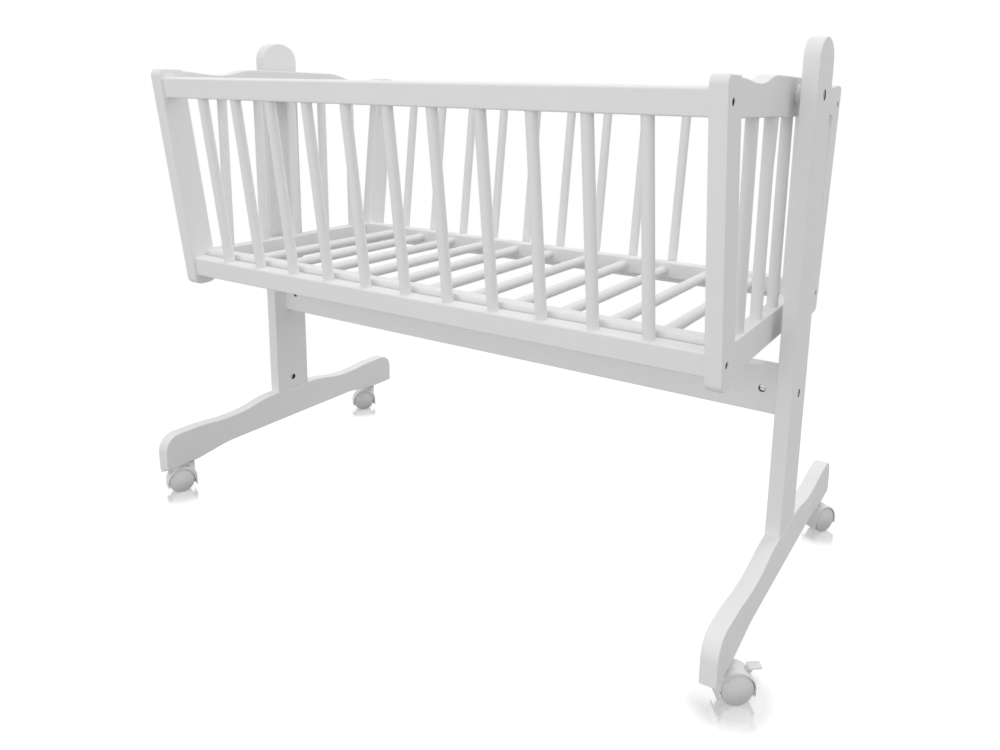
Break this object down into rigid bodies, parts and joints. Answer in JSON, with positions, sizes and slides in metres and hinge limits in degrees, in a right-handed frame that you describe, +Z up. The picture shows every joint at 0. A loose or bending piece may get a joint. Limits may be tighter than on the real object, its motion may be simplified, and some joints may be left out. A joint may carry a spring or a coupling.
{
  "type": "swinging cradle",
  "caption": "Swinging baby cradle: a slatted basket with sloping sides hangs between the posts of a white wooden stand that rolls on castors with foot brakes.",
  "frame": {"origin": "on the floor, under the middle of the stand", "axes": "+X along the cradle towards its right end, +Y from front to back, +Z up; the braked castors are at the front (-Y)"},
  "size_m": [1.0876, 0.574, 0.8035],
  "materials": {
    "painted_wood": "satin white lacquer on solid wood",
    "zinc_steel": "zinc plated",
    "spacer_plastic": "matte white",
    "hood_plastic": "semi-gloss white",
    "wheel_plastic": "semi-gloss white"
  },
  "bodies": {
    "stand": {"left_post": "painted_wood", "right_post": "painted_wood", "left_foot": "painted_wood", "right_foot": "painted_wood", "stretcher": "painted_wood", "left_foot_bolt": "zinc_steel", "right_foot_bolt": "zinc_steel", "left_foot_nut": "zinc_steel", "right_foot_nut": "zinc_steel", "left_stretcher_bolt": "zinc_steel", "right_stretcher_bolt": "zinc_steel", "left_stretcher_nut": "zinc_steel", "right_stretcher_nut": "zinc_steel"},
    "basket": {"left_end_top_rail": "painted_wood", "right_end_top_rail": "painted_wood", "left_end_bottom_rail": "painted_wood", "right_end_bottom_rail": "painted_wood", "left_end_spindle_1": "painted_wood", "left_end_spindle_2": "painted_wood", "left_end_spindle_3": "painted_wood", "left_end_spindle_4": "painted_wood", "left_end_spindle_5": "painted_wood", "right_end_spindle_1": "painted_wood", "right_end_spindle_2": "painted_wood", "right_end_spindle_3": "painted_wood", "right_end_spindle_4": "painted_wood", "right_end_spindle_5": "painted_wood", "front_left_corner_post": "painted_wood", "back_left_corner_post": "painted_wood", "front_right_corner_post": "painted_wood", "back_right_corner_post": "painted_wood", "front_top_rail": "painted_wood", "back_top_rail": "painted_wood", "front_bottom_rail_with_spindles": "painted_wood", "back_bottom_rail_with_spindles": "painted_wood", "base_front_rail": "painted_wood", "base_back_rail_with_slats": "painted_wood", "front_left_top_corner_bolt": "zinc_steel", "front_left_bottom_corner_bolt": "zinc_steel", "back_left_top_corner_bolt": "zinc_steel", "back_left_bottom_corner_bolt": "zinc_steel", "front_right_top_corner_bolt": "zinc_steel", "front_right_bottom_corner_bolt": "zinc_steel", "back_right_top_corner_bolt": "zinc_steel", "back_right_bottom_corner_bolt": "zinc_steel", "left_pivot_bolt": "zinc_steel", "right_pivot_bolt": "zinc_steel", "left_pivot_spacer": "spacer_plastic", "right_pivot_spacer": "spacer_plastic"},
    "front_left_caster": {"front_left_caster_housing": "hood_plastic"},
    "front_left_wheels": {"front_left_caster_wheels": "wheel_plastic"},
    "front_left_brake": {"front_left_brake_lever": "hood_plastic"},
    "front_right_caster": {"front_right_caster_housing": "hood_plastic"},
    "front_right_wheels": {"front_right_caster_wheels": "wheel_plastic"},
    "front_right_brake": {"front_right_brake_lever": "hood_plastic"},
    "back_left_caster": {"back_left_caster_housing": "hood_plastic"},
    "back_left_wheels": {"back_left_caster_wheels": "wheel_plastic"},
    "back_right_caster": {"back_right_caster_housing": "hood_plastic"},
    "back_right_wheels": {"back_right_caster_wheels": "wheel_plastic"}
  },
  "joints": [
    {"name": "basket_swing", "type": "hinge", "parent": "stand", "child": "basket", "pos_m": [0, 0, 0.73], "axis": [1, 0, 0], "range_deg": [-20, 20]},
    {"name": "front_left_caster_swivel", "type": "hinge", "parent": "stand", "child": "front_left_caster", "pos_m": [-0.5044, -0.234, 0.055], "axis": [0, 0, 1], "continuous": true},
    {"name": "front_right_caster_swivel", "type": "hinge", "parent": "stand", "child": "front_right_caster", "pos_m": [0.5044, -0.234, 0.055], "axis": [0, 0, 1], "continuous": true},
    {"name": "back_left_caster_swivel", "type": "hinge", "parent": "stand", "child": "back_left_caster", "pos_m": [-0.5044, 0.234, 0.055], "axis": [0, 0, 1], "continuous": true},
    {"name": "back_right_caster_swivel", "type": "hinge", "parent": "stand", "child": "back_right_caster", "pos_m": [0.5044, 0.234, 0.055], "axis": [0, 0, 1], "continuous": true},
    {"name": "front_left_wheel_roll", "type": "hinge", "parent": "front_left_caster", "child": "front_left_wheels", "pos_m": [-0.51207, -0.24973, 0.02107], "axis": [0.8988, -0.4384, 0], "continuous": true},
    {"name": "front_right_wheel_roll", "type": "hinge", "parent": "front_right_caster", "child": "front_right_wheels", "pos_m": [0.51819, -0.22323, 0.02107], "axis": [-0.6157, 0.788, 0], "continuous": true},
    {"name": "back_left_wheel_roll", "type": "hinge", "parent": "back_left_caster", "child": "back_left_wheels", "pos_m": [-0.51565, 0.22059, 0.02107], "axis": [0.766, -0.6428, 0], "continuous": true},
    {"name": "back_right_wheel_roll", "type": "hinge", "parent": "back_right_caster", "child": "back_right_wheels", "pos_m": [0.51315, 0.24915, 0.02107], "axis": [-0.866, 0.5, 0], "continuous": true},
    {"name": "front_left_brake_press", "type": "hinge", "parent": "front_left_caster", "child": "front_left_brake", "pos_m": [-0.51645, -0.25872, 0.03687], "axis": [0.8988, -0.4384, 0], "range_deg": [0, 22]},
    {"name": "front_right_brake_press", "type": "hinge", "parent": "front_right_caster", "child": "front_right_brake", "pos_m": [0.52607, -0.21707, 0.03687], "axis": [-0.6157, 0.788, 0], "range_deg": [0, 22]}
  ]
}
